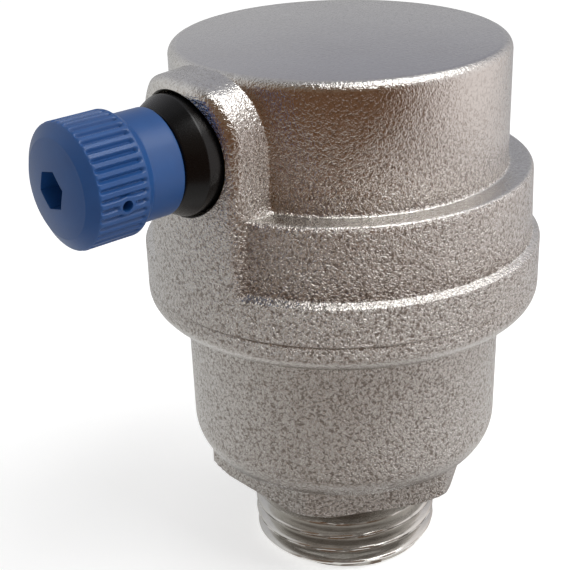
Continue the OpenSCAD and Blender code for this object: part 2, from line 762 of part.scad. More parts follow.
// Moulded vent cap: neck, grooved head, key socket and bleed hole
module vent_cap() color("steelblue") along_vent() difference() {
  turned([
    [0, cap_s, 0],
    [cap_neck_d / 2, cap_s, edge_break],
    [cap_neck_d / 2, head_s - edge_break, edge_break],
    [cap_d / 2, head_s + head_taper, edge_break],
    [cap_d / 2, face_s - cap_crown - cap_slope, slope_round],
    [cap_face_d / 2, face_s - cap_crown, slope_round],
    [cap_flat_d / 2, face_s, slope_round],
    [0, face_s, 0]
  ]);
  for (i = [0:groove_count - 1]) rotate(i * 360 / groove_count)
    translate([cap_d / 2 + edge_break / 2, 0, head_s - cut])
      cylinder(r = groove_r, h = face_s - groove_end - head_s + cut, $fn = 24);
  translate([0, 0, face_s - socket_depth]) rotate(socket_turn)
    cylinder(d = socket_af / cos(30), h = socket_depth + cut, $fn = 6);
  translate([0, 0, cap_s - cut]) cylinder(d = spigot_d + 2 * cap_gap, h = cap_floor_s - cap_s);
  translate([0, 0, cap_floor_s - cap_relief_len]) cylinder(d = cap_relief_d, h = cap_relief_len);
  translate([0, 0, face_s - bleed_from_face]) rotate([0, 90, 90 - bleed_turn])
    cylinder(d = bleed_d, h = cap_d, $fn = 24);
}

lower_body();
cover();
cover_seal();
vent_nozzle();
jet_seat();
nozzle_seal();
lever_bracket();
lock_washer();
nozzle_nut();
lever_pin();
pin_clips();
lever_spring();
collar_ring();
valve_lever();
valve_pad();
float_shell();
float_lid();
hanger_pin();
cap_disc();
vent_cap();
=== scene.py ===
# %% [markdown]
# # An air release valve, dressed for its picture
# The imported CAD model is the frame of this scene: it says where each piece is, how large it is and what
# it moves with. This script never moves a CAD piece. It dresses each one with the finish of the real
# material, and where a forged or moulded skin shows more than the solids do, it builds that skin as a
# mesh of its own and lets it stand for the solid.

# %% Load the frame
import json
import math

import bmesh
import bpy
import numpy as np
from mathutils import Matrix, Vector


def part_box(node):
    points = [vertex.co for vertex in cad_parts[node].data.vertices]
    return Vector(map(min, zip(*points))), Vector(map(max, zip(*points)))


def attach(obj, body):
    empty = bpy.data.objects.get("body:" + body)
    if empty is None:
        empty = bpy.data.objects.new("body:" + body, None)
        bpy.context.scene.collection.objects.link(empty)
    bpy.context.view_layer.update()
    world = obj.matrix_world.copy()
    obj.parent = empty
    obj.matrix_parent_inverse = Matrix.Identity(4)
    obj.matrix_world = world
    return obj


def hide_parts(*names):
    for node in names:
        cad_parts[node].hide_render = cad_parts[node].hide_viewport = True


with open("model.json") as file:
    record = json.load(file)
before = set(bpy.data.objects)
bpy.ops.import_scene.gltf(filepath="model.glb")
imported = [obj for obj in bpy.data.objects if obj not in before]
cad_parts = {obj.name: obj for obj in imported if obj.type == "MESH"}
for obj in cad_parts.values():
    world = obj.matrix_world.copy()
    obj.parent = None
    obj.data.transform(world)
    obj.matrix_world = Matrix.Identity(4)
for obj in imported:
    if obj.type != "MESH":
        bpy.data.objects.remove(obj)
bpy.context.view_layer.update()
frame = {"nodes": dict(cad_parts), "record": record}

MM = 0.001
scene = bpy.context.scene

# %% [markdown]
# ## Camera
# The photograph looks down on the valve from the front right. The thread's known diameter gives the
# scale, and the ellipses of the tiers give the distance, the height and the tilt. A camera placed by
# these numbers is better than one moved by eye.

# %% Camera
IMAGE_PX = 570
camera_azimuth = math.radians(47.18)
camera_away = 129.7 * MM
camera_height = 90.6 * MM
aim_yaw = math.radians(2.79)
aim_pitch = math.radians(24.66)
aim_roll = math.radians(1.83)
focal_px = 1290.4

lens = bpy.data.cameras.new("photo_camera")
lens.lens = focal_px / IMAGE_PX * lens.sensor_width
lens.clip_start = 1 * MM
camera = bpy.data.objects.new("photo_camera", lens)
scene.collection.objects.link(camera)
around_valve = Matrix.Rotation(camera_azimuth, 4, "Z")
camera.matrix_world = (
    around_valve
    @ Matrix.Translation((0, -camera_away, camera_height))
    @ Matrix.Rotation(aim_yaw, 4, "Z")
    @ Matrix.Rotation(-aim_pitch, 4, "X")
    @ Matrix.Rotation(aim_roll, 4, "Y")
    @ Matrix.Rotation(math.pi / 2, 4, "X")
)
scene.camera = camera
print(f"camera: lens {lens.lens:.1f} mm at {[round(x / MM, 1) for x in camera.location]} mm")

# %% [markdown]
# ## Sizes from the frame
# A skin has to sit exactly where its solid is, so the main sizes are measured on the CAD nodes. Only the
# small forms inside those limits, such as fillets and thread teeth, are named here, in millimetres.

# %% Measure the frame
cover_low, cover_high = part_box("cover")
body_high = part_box("lower_body")[1]
ring_low, ring_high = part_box("collar_ring")
cap_low, cap_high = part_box("vent_cap")
nozzle_low, nozzle_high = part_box("vent_nozzle")

flange_r = cover_high.x / MM
seam_z = cover_low.z / MM
top_z = cover_high.z / MM
neck_top = body_high.z / MM
vent_z = (ring_low.z + ring_high.z) / 2 / MM
collar_s, collar_end_s = -ring_high.y / MM, -ring_low.y / MM
cap_s, face_s = -cap_high.y / MM, -cap_low.y / MM
nose_s, spigot_end_s = -nozzle_high.y / MM, -nozzle_low.y / MM
print(f"flange radius {flange_r:.3f}, seam at {seam_z:.2f}, top at {top_z:.2f}, vent at {vent_z:.2f} mm")

# %% [markdown]
# ## Outlines and skins
# Turned and forged parts are drawn as half sections. A section is a few corners with a radius each, as on
# a workshop drawing, and every rounded corner becomes an arc. A skin is then a stack of rings of points.
# A plain Screw modifier would do for turned parts, but rings can also be pushed in and out one by one,
# which gives grip grooves, threads and the arched boss with the same helper.

# %% Outline helpers
ARC_STEPS = 8


def rounded(corners):
    """Points along an outline of (x, y, radius) corners, with each radius as an arc."""
    corners = [np.array(corner, float) for corner in corners]
    points = []
    for i, (x, y, radius) in enumerate(corners):
        here = np.array((x, y))
        if radius == 0:
            points.append(here)
            continue
        back = corners[i - 1][:2] - here
        ahead = corners[(i + 1) % len(corners)][:2] - here
        back /= np.linalg.norm(back)
        ahead /= np.linalg.norm(ahead)
        half = math.acos(back @ ahead) / 2
        centre = here + (back + ahead) / np.linalg.norm(back + ahead) * radius / math.sin(half)
        start = here + back * radius / math.tan(half) - centre
        end = here + ahead * radius / math.tan(half) - centre
        sweep = math.atan2(start[0] * end[1] - start[1] * end[0], start @ end)
        for angle in np.linspace(0, sweep, ARC_STEPS + 1):
            turn = np.array(((math.cos(angle), -math.sin(angle)), (math.sin(angle), math.cos(angle))))
            points.append(centre + turn @ start)
    return np.array(points)


def spaced(points, longest):
    """The same outline with no stretch longer than that."""
    filled = [points[:1]]
    for a, b in zip(points[:-1], points[1:]):
        count = max(1, math.ceil(np.linalg.norm(b - a) / longest))
        filled.append(a + (b - a) * np.linspace(0, 1, count + 1)[1:, None])
    return np.concatenate(filled)


print("a 1 mm corner has", len(rounded([(0, 0, 0), (5, 0, 1), (5, 5, 0)])) - 2, "points")

# %% Rings of points


def full_turn(count):
    """Evenly spaced angles of one turn."""
    return np.linspace(0, 2 * math.pi, count, endpoint=False)


def upright(radius, height, turns):
    """Rings about the valve axis: radius is one number per ring, or one per ring and turn."""
    radius = np.broadcast_to(np.asarray(radius, float).reshape(len(height), -1), (len(height), len(turns)))
    height = np.broadcast_to(np.asarray(height, float)[:, None], radius.shape)
    return np.stack((radius * np.sin(turns), -radius * np.cos(turns), height), axis=-1)


def along_vent(radius, distance, turns):
    """Rings about the vent axis, which points along -Y: distance is measured from the valve axis."""
    radius = np.broadcast_to(np.asarray(radius, float).reshape(len(radius), -1), (len(radius), len(turns)))
    distance = np.asarray(distance, float).reshape(len(radius), -1)
    distance = np.broadcast_to(distance, radius.shape)
    return np.stack((radius * np.cos(turns), -distance, vent_z + radius * np.sin(turns)), axis=-1)


print("a full turn of 8 points has steps of", math.degrees(full_turn(8)[1]), "degrees")

# %% Skins
SHARP = math.radians(35)
TOUCHING = 1e-7


def settle(mesh):
    """Smooth shading with crisp edges, on a mesh without doubled points and with faces outward."""
    work = bmesh.new()
    work.from_mesh(mesh)
    bmesh.ops.remove_doubles(work, verts=work.verts, dist=TOUCHING)
    bmesh.ops.dissolve_degenerate(work, edges=work.edges, dist=TOUCHING)
    bmesh.ops.recalc_face_normals(work, faces=work.faces)
    work.to_mesh(mesh)
    work.free()
    mesh.polygons.foreach_set("use_smooth", np.ones(len(mesh.polygons), bool))
    mesh.set_sharp_from_angle(angle=SHARP)


def skin(name, rings, looped=False):
    """A mesh over rings of points in millimetres. Looped joins the last ring to the first."""
    count, around = rings.shape[:2]
    ring = np.arange(count if looped else count - 1)[:, None]
    column = np.arange(around)[None, :]
    next_ring = (ring + 1) % count
    next_column = (column + 1) % around
    faces = np.stack(
        (
            ring * around + column,
            ring * around + next_column,
            next_ring * around + next_column,
            next_ring * around + column,
        ),
        axis=-1,
    )
    mesh = bpy.data.meshes.new(name)
    mesh.from_pydata((rings.reshape(-1, 3) * MM).tolist(), [], faces.reshape(-1, 4).tolist())
    settle(mesh)
    piece = bpy.data.objects.new(name, mesh)
    scene.collection.objects.link(piece)
    print(f"{name}: {len(mesh.vertices)} points, {len(mesh.polygons)} faces")
    return piece


print(f"edges sharper than {math.degrees(SHARP):.0f} degrees stay crisp")

# %% Cuts and soft changes


def carve(piece, cutter):
    """Cuts one closed skin out of another and removes the cutter."""
    cut = piece.modifiers.new("carve", "BOOLEAN")
    cut.operation = "DIFFERENCE"
    cut.solver = "EXACT"
    cut.object = cutter
    graph = bpy.context.evaluated_depsgraph_get()
    old = piece.data
    piece.data = bpy.data.meshes.new_from_object(piece.evaluated_get(graph))
    piece.data.name = piece.name
    piece.modifiers.clear()
    bpy.data.meshes.remove(old)
    bpy.data.objects.remove(cutter)
    settle(piece.data)


def smooth_max(a, b, width):
    """The larger of two values, with a soft change from one to the other."""
    share = np.clip(0.5 + 0.5 * (a - b) / width, 0, 1)
    return b + (a - b) * share + width * share * (1 - share)


print(f"two equal walls with a soft change of 1 mm meet {smooth_max(0.0, 0.0, 1.0):.2f} mm further out")

# %% [markdown]
# ## Lower body
# The lower body is a brass forging: a hexagon, a cup with a rounded foot and the lower half of the flange.
# It could be a lathe shape with a hexagon joined on by a Boolean, but a forging has no such seam. So the
# rings start as hexagons, pulled in by the bevel under the corners, and end as circles.

# %% Hexagon
hex_z = 10.05
hex_h = 3.95
hex_af = 27.0
hex_turn = math.radians(2)
hex_corner_cut = 0.12
hex_bevel_r = 14.4
hex_bevel = math.radians(30)
hex_rows = np.array((0, 0.1, 0.25, 0.45, 0.7, 1.0, 3.3, 3.6, 3.75))
hex_shoulder = np.array((0.04, 0.16))

body_turns = full_turn(540)
from_corner = (body_turns - math.pi / 2 - hex_turn) % (math.pi / 3)
from_corner = np.minimum(from_corner, math.pi / 3 - from_corner)
hex_r = hex_af / 2 / np.cos(math.pi / 6 - from_corner)
corner_r = hex_af / 2 / math.cos(math.pi / 6)
hex_r = -smooth_max(-hex_r, hex_corner_cut - corner_r, 2 * hex_corner_cut)
bevel_slope = 1 / math.tan(hex_bevel)
hex_radius = np.minimum(hex_r, hex_bevel_r + hex_rows[:, None] * bevel_slope)
hex_radius[-2:] += hex_shoulder[:, None]
print(f"hexagon: {hex_af} mm across flats, rounded corners at {hex_r.max():.2f} mm")

# %% Foot of the cup
cup_z = hex_z + hex_h
cup_base_r = 16.0
cup_foot_r = 16.98
cup_round_h = 2.8

cup_arc_in = cup_foot_r - cup_base_r
cup_arc_r = (cup_arc_in**2 + cup_round_h**2) / (2 * cup_arc_in)
foot_angles = np.linspace(-math.asin(cup_round_h / cup_arc_r), 0, 2 * ARC_STEPS)
foot = np.stack(
    (cup_foot_r - cup_arc_r + cup_arc_r * np.cos(foot_angles),
     cup_z + cup_round_h + cup_arc_r * np.sin(foot_angles)),
    axis=-1,
)
print(f"foot of the cup: an arc of {cup_arc_r:.2f} mm")

# %% Lower body
cup_r = 17.13
cup_fillet = 0.8
flange_z = 30.85
flange_round = 1.95
edge_break = 0.22
neck_r = 17.0
chamber_r = 15.0
chamber_round = 2.5
floor_z = 16.0
inlet_r = 7.4

wall = rounded([
    (cup_foot_r, cup_z + cup_round_h, 0),
    (cup_r, flange_z, cup_fillet),
    (flange_r, flange_z, flange_round),
    (flange_r, seam_z, edge_break),
    (neck_r, seam_z, 0),
    (neck_r, neck_top, edge_break),
    (chamber_r, neck_top, edge_break),
    (chamber_r, floor_z, chamber_round),
    (inlet_r, floor_z, 0),
    (inlet_r, hex_z, 0),
])
body_rings = np.concatenate((
    upright(hex_radius, hex_z + hex_rows, body_turns),
    upright(foot[:, 0], foot[:, 1], body_turns),
    upright(wall[1:, 0], wall[1:, 1], body_turns),
))
body_forging = skin("body_forging", body_rings, looped=True)

# %% [markdown]
# ## Inlet thread
# The spigot carries a right-hand pipe thread of 14 threads to the inch. It is cut on a lathe, so it is
# smoother and brighter than the forging. In CAD it is a row of plain rings. A Screw modifier could wind one
# tooth into a helix, but the ends of the helix would stay open. Here every ring of points is pushed in by
# the depth of the tooth at its height, and the tooth climbs one pitch per turn. At the lead-in and at the
# run-out the smallest radius wins.

# %% Inlet thread
thread_r = 10.4775
thread_pitch = 25.4 / 14
thread_depth = 1.16
thread_len = 8.5
lead_in_h = 0.95
lead_in_w = 0.9
relief_r = 8.7
relief_z = 7.2
run_out_slope = 2.2
bore_bevel = 0.3
rows_per_pitch = 18


def tooth(phase, sharpness=1.25):
    """Height from 0 to 1 of a thread tooth with straight flanks and softened crest and root."""
    wave = 1 - 2 * np.abs(phase % 1 - 0.5) * 2
    height = np.clip(0.5 + 0.5 * sharpness * wave, 0, 1)
    return height * height * (3 - 2 * height) * 0.5 + height * 0.5


thread_turns = full_turn(240)
thread_z = np.linspace(0, thread_len, round(thread_len / thread_pitch * rows_per_pitch))
phase = thread_z[:, None] / thread_pitch - thread_turns[None, :] / (2 * math.pi)
tooth_r = thread_r - thread_depth * (1 - tooth(phase))
lead_in = thread_r - lead_in_w * np.clip(1 - thread_z / lead_in_h, 0, 1)
run_out = relief_r + np.maximum(relief_z - thread_z, 0) * run_out_slope
tooth_r = np.minimum(tooth_r, np.minimum(lead_in, run_out)[:, None])
thread_rings = np.concatenate((
    upright(np.array((inlet_r + bore_bevel,)), np.array((0.0,)), thread_turns),
    upright(tooth_r, thread_z, thread_turns),
    upright(np.array((relief_r, inlet_r, inlet_r)), np.array((hex_z, hex_z, bore_bevel)), thread_turns),
))
inlet_thread = skin("inlet_thread", thread_rings, looped=True)

# %% [markdown]
# ## Cover
# The cover is the second forging: the upper half of the flange, a middle tier, the crown, and the arched
# boss for the vent, whose face continues the flange. All edges are soft, as a forging die leaves them.
# Stacked cylinders with a Bevel modifier would give every edge the same radius. A half section gives each
# edge its own. Its rows lie closer near the top, where the arch of the boss runs out and would show steps.

# %% Section of the cover
step_z = seam_z + 4.0
mid_z = step_z + 0.55
ledge_z = mid_z + 7.42
mid_r = 20.12
mid_foot_r = 20.28
ledge_round = 0.6
ledge_fillet = 0.4
crown_r = 17.5
crown_round = 1.1
socket_r = 17.1
socket_top = neck_top + 0.3
crown_bore_r = 15.2
roof_z = top_z - 2.4
row_step = 0.28
fine_row_step = 0.06
fine_rows_h = 2.2

cover_out = rounded([
    (0, top_z, 0),
    (crown_r, top_z, crown_round),
    (crown_r, ledge_z, ledge_fillet),
    (mid_r, ledge_z, ledge_round),
    (mid_foot_r, mid_z, edge_break),
    (flange_r, step_z, edge_break),
    (flange_r, seam_z, edge_break),
    (socket_r, seam_z, 0),
])
is_fine = cover_out[1:-1, 1] > top_z - fine_rows_h
fine_count = np.count_nonzero(is_fine)
fine_end = [(crown_r, top_z - fine_rows_h)]
cover_out = np.concatenate((
    cover_out[:1],
    spaced(np.concatenate((cover_out[1:1 + fine_count], fine_end)), fine_row_step)[:-1],
    spaced(np.concatenate((fine_end, cover_out[1 + fine_count:-1])), row_step),
    cover_out[-1:],
))
cover_in = np.array((
    (socket_r, socket_top),
    (crown_bore_r, socket_top),
    (crown_bore_r, roof_z),
    (0, roof_z),
))
print("cover section:", len(cover_out), "outer and", len(cover_in), "inner points")

# %% [markdown]
# ### Arched boss
# The boss stands on the side of the cover like a small arched door with rounded edges. Joining an arch to
# a lathe shape with a Boolean would leave a hard crease at the root. So the boss is worked out as a
# distance: along each ray from the axis the script finds where the rounded arch ends, and the ring takes
# the larger of the tier and the boss, with a soft change between them.

# %% Arched boss
boss_r = 7.2
boss_draft = math.radians(1)
boss_round = 1.1
boss_top_round = 1.2
boss_root = 0.35
boss_foot_fillet = 0.8
arch_z = vent_z + 1.05
boss_top_z = top_z - 0.1
boss_top_slope = 0.12
boss_start_z = seam_z + 1
face_edge_s = math.sqrt(flange_r**2 - boss_r**2)


def round_both(a, b, radius):
    """Distance to the shape inside both a and b, with their common edge rounded."""
    outside = np.hypot(np.maximum(a + radius, 0), np.maximum(b + radius, 0))
    return np.minimum(np.maximum(a, b), -radius) + outside


def boss_distance(r, turn, z):
    """Distance to the boss, negative inside it."""
    sideways = np.abs(r * np.sin(turn))
    above_ledge = np.clip(z - ledge_z, 0, boss_foot_fillet)
    flare = boss_foot_fillet - np.sqrt(boss_foot_fillet**2 - (boss_foot_fillet - above_ledge) ** 2)
    flare = np.where(z < ledge_z, 0, flare) * np.clip(mid_r - ledge_round - r, 0, 1)
    outward = r * np.cos(turn)
    drafted_r = boss_r + math.tan(boss_draft) * (face_edge_s - outward)
    arch = np.hypot(sideways, np.maximum(z - arch_z, 0)) - drafted_r - flare
    above_top = z - boss_top_z + boss_top_slope * np.maximum(outward - crown_r, 0)
    return round_both(round_both(arch, r - flange_r, boss_round), above_top, boss_top_round)


print(f"boss: {2 * boss_r} mm wide, arch centre at {arch_z:.2f} mm")

# %% Skin of the cover
HALVINGS = 40
boss_half_turn = 40
boss_turn_step = 0.25
tier_turn_step = 1.25
least_blend = 1e-4


def boss_reach(turn, z):
    """Radius at which each ray leaves the boss, found by halving an interval."""
    inner = np.full(np.broadcast(turn, z).shape, boss_r)
    outer = np.full(inner.shape, flange_r + boss_round)
    missed = (boss_distance(inner, turn, z) > 0) | (np.cos(turn) + 0 * z < 0) | (z + 0 * turn < boss_start_z)
    for _ in range(HALVINGS):
        middle = (inner + outer) / 2
        inside = boss_distance(middle, turn, z) < 0
        inner = np.where(inside, middle, inner)
        outer = np.where(inside, outer, middle)
    return np.where(missed, 0, inner)


boss_turns = np.radians(np.arange(-boss_half_turn, boss_half_turn, boss_turn_step))
tier_turns = np.radians(np.arange(boss_half_turn, 360 - boss_half_turn, tier_turn_step))
cover_turns = np.concatenate((boss_turns, tier_turns))
tier_r, tier_z = cover_out[:, :1], cover_out[:, 1:]
along = np.gradient(cover_out, axis=0)
wallness = (np.abs(along[:, 1]) / np.linalg.norm(along, axis=1))[:, None]
set_back = np.clip((flange_r - tier_r) / boss_round, 0, 1)
reach = boss_reach(cover_turns[None, :], tier_z)
outside_r = smooth_max(tier_r, reach, boss_root * wallness * set_back + least_blend)
cover_rings = np.concatenate((
    upright(outside_r, cover_out[:, 1], cover_turns),
    upright(cover_in[:, 0], cover_in[:, 1], cover_turns),
))
cover_forging = skin("cover_forging", cover_rings)

# %% [markdown]
# ## Machined recess
# Before plating, a counterbore for the vent is cut into the face of the boss. Its edge is crisp, with a
# small bevel that catches a bright line. A Boolean on the forging would give a ragged bevel, so a slightly
# larger hole is cut and closed by a ring with its own clean rows: face, bevel, wall and floor.

# %% Machined recess
recess_r = 6.1
recess_s = 17.4
recess_fillet = 0.2
lip_bevel = 0.14
lip_r = recess_r + lip_bevel
lip_tail_s = recess_s - 1
shank_hole_r = 3.6
hole_start_s = recess_s - 5
hole_end_s = 25
vent_turns = full_turn(180)


def on_face(r):
    """Distance from the valve axis of points on the round face of the boss."""
    return np.sqrt(flange_r**2 - (r * np.cos(vent_turns)) ** 2)


hole_rings = along_vent(
    np.array((0, lip_r, lip_r, 0)),
    np.array((hole_start_s, hole_start_s, hole_end_s, hole_end_s)),
    vent_turns,
)
carve(cover_forging, skin("lip_hole", hole_rings))

level_ring = np.ones(len(vent_turns))
lip_rows = (
    (lip_r, lip_tail_s * level_ring),
    (lip_r, on_face(lip_r)),
    (recess_r, on_face(recess_r) - lip_bevel),
    (recess_r, (recess_s + recess_fillet) * level_ring),
    (recess_r - recess_fillet, recess_s * level_ring),
    (shank_hole_r, recess_s * level_ring),
    (shank_hole_r, lip_tail_s * level_ring),
)
lip_radii, lip_distances = (np.array(column) for column in zip(*lip_rows))
vent_recess = skin("vent_recess", along_vent(lip_radii, lip_distances, vent_turns), looped=True)

# %% [markdown]
# ## Vent nozzle
# A turned brass nozzle passes through the boss and carries the cap on its thread. It is hidden while the
# cap is closed and shows a few millimetres of bright thread once the cap is unscrewed. A plain cylinder
# would do for the closed valve, but here it gets a true thread too, made as the inlet's, with the pitch
# that couples the cap's turn to its travel.

# %% Vent nozzle
cap_pitch = 1.25
spigot_r = 3.9
spigot_depth = 0.6
spigot_bevel = 0.5
spigot_start_s = collar_s + 0.5
spigot_rows = 110
shoulder_r = 5.6
shank_r = 3.5
nose_r = 1.8
air_r = 1.0
jet_r = 1.22
jet_depth = 2.9
shank_end_s = nose_s + 0.7
shoulder_s = collar_s - 0.9

nozzle_turns = full_turn(120)
spigot_s = np.linspace(spigot_start_s, spigot_end_s, spigot_rows)
spigot_phase = spigot_s[:, None] / cap_pitch - nozzle_turns[None, :] / (2 * math.pi)
spigot_tooth_r = spigot_r - spigot_depth * (1 - tooth(spigot_phase))
spigot_end_r = spigot_r - spigot_bevel + (spigot_end_s - spigot_s)
spigot_tooth_r = np.minimum(spigot_tooth_r, spigot_end_r[:, None])
shank = rounded([
    (air_r, nose_s + jet_depth, 0),
    (jet_r, nose_s + jet_depth, 0),
    (jet_r, nose_s, 0),
    (nose_r, nose_s, 0.15),
    (nose_r, shank_end_s, 0),
    (shank_r, shank_end_s, 0.2),
    (shank_r, shoulder_s, 0),
    (shoulder_r, shoulder_s, 0.1),
    (shoulder_r, collar_s, 0.1),
    (spigot_r - spigot_depth, collar_s, 0),
])
nozzle_rings = np.concatenate((
    along_vent(shank[:, 0], shank[:, 1], nozzle_turns),
    along_vent(spigot_tooth_r, spigot_s, nozzle_turns),
    along_vent(np.array((air_r,)), np.array((spigot_end_s,)), nozzle_turns),
))
nozzle_turning = skin("nozzle_turning", nozzle_rings, looped=True)

# %% [markdown]
# ## Collar ring
# A soft black ring sits between boss and cap. It could be a torus pressed flat, but a moulded ring has a
# straight side, a cone and a rounded nose, and a section of a few corners gives these directly.

# %% Collar ring
collar_r = ring_high.x / MM
collar_bore_r = spigot_r + 0.02
collar_nose_r = collar_r - 1.0
collar_nose_s = collar_end_s - 2.0
collar = rounded([
    (collar_bore_r, collar_s, 0),
    (collar_r, collar_s, 0.25),
    (collar_r, collar_nose_s, 0.5),
    (collar_nose_r, collar_end_s, 0.5),
    (collar_bore_r, collar_end_s, 0.1),
])
collar_rings = along_vent(collar[:, 0], collar[:, 1], full_turn(144))
collar_moulding = skin("collar_moulding", collar_rings, looped=True)

# %% [markdown]
# ## Vent cap
# The cap is moulded in blue plastic: a smooth neck, a head with fine grip grooves, a domed face with a
# hexagon socket and a small bleed hole in the side. The grooves are pushed into the rings, because cutting
# forty cylinders would leave hard edges that a mould doesn't. Socket and hole are cut, as both are crisp.

# %% Section of the vent cap
cap_r = cap_high.x / MM
cap_neck_r = 5.2
head_s = cap_s + 3.7
head_edge_s = head_s + 0.75
neck_end_s = head_s - 0.2
cap_dome_r = 4.65
cap_dome = 0.6
cap_slope = 0.8
slope_round = 0.4
slope_end_s = face_s - cap_dome - cap_slope
cap_bore_r = 4.0
cap_relief_r = 4.4
cap_floor_s = face_s - 2.8
cap_relief_s = cap_floor_s - 2.5
cap_row_step = 0.2
dome_gap = 0.1

dome_radius = (cap_dome_r**2 + cap_dome**2) / (2 * cap_dome)
dome_angles = np.linspace(0, math.asin(cap_dome_r / dome_radius), 2 * ARC_STEPS)
dome = np.stack(
    (dome_radius * np.sin(dome_angles), face_s - dome_radius + dome_radius * np.cos(dome_angles)),
    axis=-1,
)
cap_side = rounded([
    (0, face_s, 0),
    (cap_dome_r, face_s - cap_dome, slope_round),
    (cap_r, slope_end_s, slope_round),
    (cap_r, head_edge_s, 0.3),
    (cap_neck_r, neck_end_s, 0.25),
    (cap_neck_r, cap_s, 0.2),
    (cap_bore_r, cap_s, 0.15),
    (cap_bore_r, cap_relief_s, 0),
])
cap_side = spaced(cap_side[1:], cap_row_step)
dome = dome[dome[:, 0] < cap_side[0, 0] - dome_gap]
cap_inside = np.array((
    (cap_relief_r, cap_relief_s),
    (cap_relief_r, cap_floor_s),
    (0, cap_floor_s),
))
cap_outline = np.concatenate((dome, cap_side, cap_inside))
print("cap section:", len(cap_outline), "points")

# %% Grip grooves
groove_count = 40
turns_per_groove = 16
groove_half_w = 0.3
groove_deep = 0.34
groove_back_s = head_s + 0.95
groove_fade = 0.3
bleed_s = face_s - 4.15
bleed_turn = math.radians(-9.5)
bleed_land = 0.85
bleed_land_fade = 0.2

cap_turns = full_turn(groove_count * turns_per_groove)
groove_step = 2 * math.pi / groove_count
from_groove = (cap_turns + groove_step / 2) % groove_step - groove_step / 2
across_groove = np.minimum(np.abs(from_groove) * cap_r / groove_half_w, 1)
groove_depth = groove_deep * (1 - across_groove**2) ** 2
from_front = np.clip((slope_end_s - cap_outline[:, 1]) / groove_fade, 0, 1)
from_back = np.clip((cap_outline[:, 1] - groove_back_s) / groove_fade, 0, 1)
on_head = from_front * from_back * (cap_outline[:, 0] > cap_neck_r)
from_bleed = np.hypot((cap_turns - 2 * math.pi - bleed_turn) * cap_r, cap_outline[:, 1:] - bleed_s)
off_bleed = np.clip((from_bleed - bleed_land) / bleed_land_fade, 0, 1)
cap_radius = cap_outline[:, :1] - groove_depth[None, :] * on_head[:, None] * off_bleed
cap_moulding = skin("cap_moulding", along_vent(cap_radius, cap_outline[:, 1], cap_turns))

# %% Key socket
cutter_proud = 1
socket_af = 3.4
socket_depth = 2.1
socket_turn = math.radians(13)

socket_corner_r = socket_af / 2 / math.cos(math.pi / 6)
socket_s = face_s - socket_depth
socket_rings = along_vent(
    np.array((0, socket_corner_r, socket_corner_r, 0)),
    np.array((socket_s, socket_s, face_s + cutter_proud, face_s + cutter_proud)),
    full_turn(6) + socket_turn,
)
carve(cap_moulding, skin("socket_cutter", socket_rings))

# %% Bleed hole
bleed_r = 0.55
bleed_depth = 1.3
bleed_turns = full_turn(32)
bleed_bottom, bleed_mouth = cap_r - bleed_depth, cap_r + cutter_proud

bleed_section = ((bleed_bottom, 0), (bleed_bottom, bleed_r), (bleed_mouth, bleed_r), (bleed_mouth, 0))
bleed_rings = []
for reach_out, radius in bleed_section:
    across = radius * np.cos(bleed_turns)
    x = reach_out * math.cos(bleed_turn) - across * math.sin(bleed_turn)
    z = vent_z + reach_out * math.sin(bleed_turn) + across * math.cos(bleed_turn)
    bleed_rings.append(np.stack((x, -bleed_s + radius * np.sin(bleed_turns), z), axis=-1))
carve(cap_moulding, skin("bleed_cutter", np.array(bleed_rings)))
print("cap after cuts:", len(cap_moulding.data.polygons), "faces")

# %% [markdown]
# ## Finishes
# Every finish starts from the real material and from how its surface was made. Colours are written as
# sRGB hex values, as a colour picker shows them, and one function turns them to the linear values that
# the shader needs. A second function adds a node with its settings and links. Patterns are sized in
# millimetres. Painted image textures would do too, but they need unwrapped meshes, and nodes follow the
# shape at any distance.

# %% Finish helpers
# A wave texture fits about three bands into one unit of its scale. Six draws tool marks twice as coarse
# as they are, because the real ones are too fine to show.
WAVE_SPREAD = 6


def linear(hex_colour):
    """Linear RGBA of an sRGB hex colour."""
    parts = [int(hex_colour[i:i + 2], 16) / 255 for i in (1, 3, 5)]
    return tuple(p / 12.92 if p <= 0.04045 else ((p + 0.055) / 1.055) ** 2.4 for p in parts) + (1.0,)


def add(tree, kind, inputs=None, **settings):
    """One node: settings are its own options, inputs are values or sockets to link."""
    made = tree.nodes.new(kind)
    for key, value in settings.items():
        setattr(made, key, value)
    for socket, value in (inputs or {}).items():
        if isinstance(value, bpy.types.NodeSocket):
            tree.links.new(value, made.inputs[socket])
        else:
            made.inputs[socket].default_value = value
    return made


def finish(name, **sockets):
    """A new material with constant values on its Principled shader, and its tree and shader."""
    material = bpy.data.materials.new(name)
    material.use_nodes = True
    shader = material.node_tree.nodes["Principled BSDF"]
    for socket, value in sockets.items():
        shader.inputs[socket.replace("_", " ")].default_value = value
    return material, material.node_tree, shader


def cover_with(tree, shader, tint, gloss, bump):
    """Links the colour, the roughness and the relief of a finish to its shader."""
    tree.links.new(tint.outputs[2], shader.inputs["Base Color"])
    tree.links.new(gloss.outputs[0], shader.inputs["Roughness"])
    tree.links.new(bump.outputs[0], shader.inputs["Normal"])


def per_mm(size):
    """Texture scale whose features are that many millimetres wide."""
    return 1 / (size * MM)


print("mid grey #808080 is linear", round(linear("#808080")[0], 3))

# %% [markdown]
# ### Blasted nickel plate
# The forgings are shot blasted and then nickel plated. Blasting leaves an orange peel of worm-like dents a
# few tenths of a millimetre wide, and the plating keeps it bright, so each dent mirrors light and dark side
# by side. Noise with some distortion gives the dents, and a finer noise gives the grit on them. Real dents
# in the mesh would need millions of faces, so they are a bump. The shot hits the walls of the lower tiers
# squarely, and the grain is deep there. It fades up the crown and is fine on the top, on the ledges and
# under the flange.

